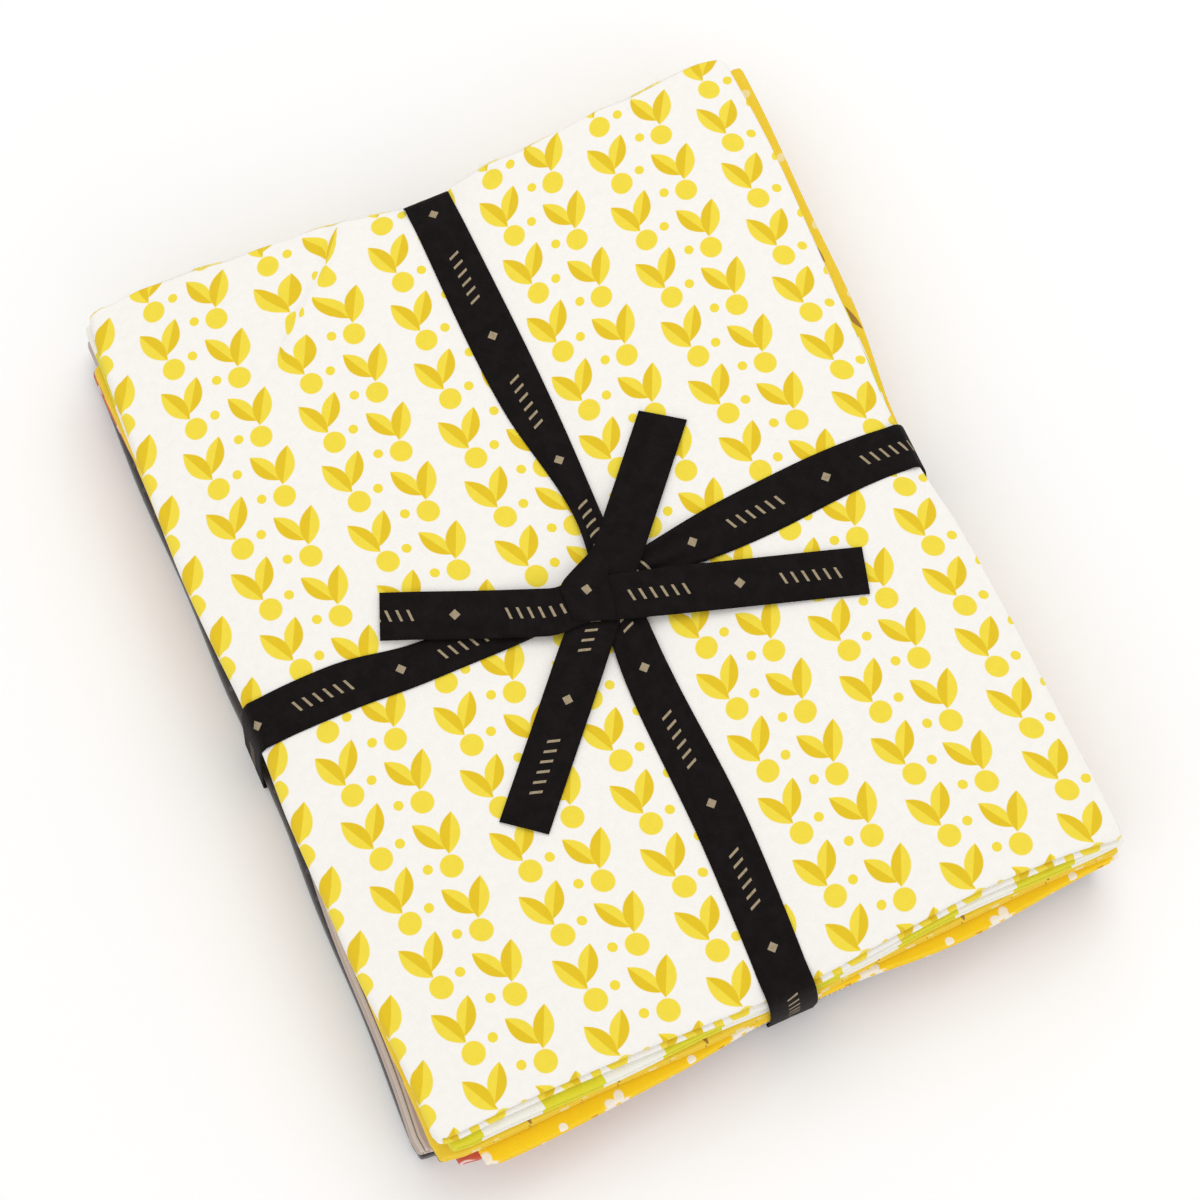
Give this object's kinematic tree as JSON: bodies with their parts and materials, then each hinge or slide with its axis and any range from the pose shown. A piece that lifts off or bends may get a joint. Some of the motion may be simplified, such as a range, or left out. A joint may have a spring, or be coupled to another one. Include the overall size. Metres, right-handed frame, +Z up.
{
  "type": "fat quarter bundle",
  "caption": "Stack of folded cotton fabric pieces in bright prints, tied both ways with a flat black ribbon knotted on top, its free ends lying flat.",
  "frame": {"origin": "on the surface it rests on, under the middle of the bundle's overall box", "axes": "+X along the short edge, from the folded side to the raw side; +Y along the long edge, from the folded end to the raw end; +Z up through the stack"},
  "size_m": [0.2322, 0.294, 0.0422],
  "materials": {
    "cotton_dots": "matte plain-weave cotton, white with a yellow print",
    "cotton_citron": "matte plain-weave cotton, citron with a white print",
    "cotton_mustard": "matte plain-weave cotton, mustard with a brown print",
    "cotton_gold": "matte plain-weave cotton, gold with a white print",
    "cotton_coral": "matte plain-weave cotton, coral with a pink print",
    "cotton_cream": "matte plain-weave cotton, cream with a grey print",
    "cotton_black": "matte plain-weave cotton, black",
    "ribbon": "matte woven tape, near black with a small dull gold print"
  },
  "bodies": {
    "root": {"quarter_dots": "cotton_dots", "quarter_citron": "cotton_citron", "quarter_mustard": "cotton_mustard", "quarter_gold": "cotton_gold", "quarter_coral": "cotton_coral", "quarter_cream": "cotton_cream", "quarter_black": "cotton_black", "ribbon_long": "ribbon", "ribbon_cross": "ribbon"}
  },
  "joints": []
}
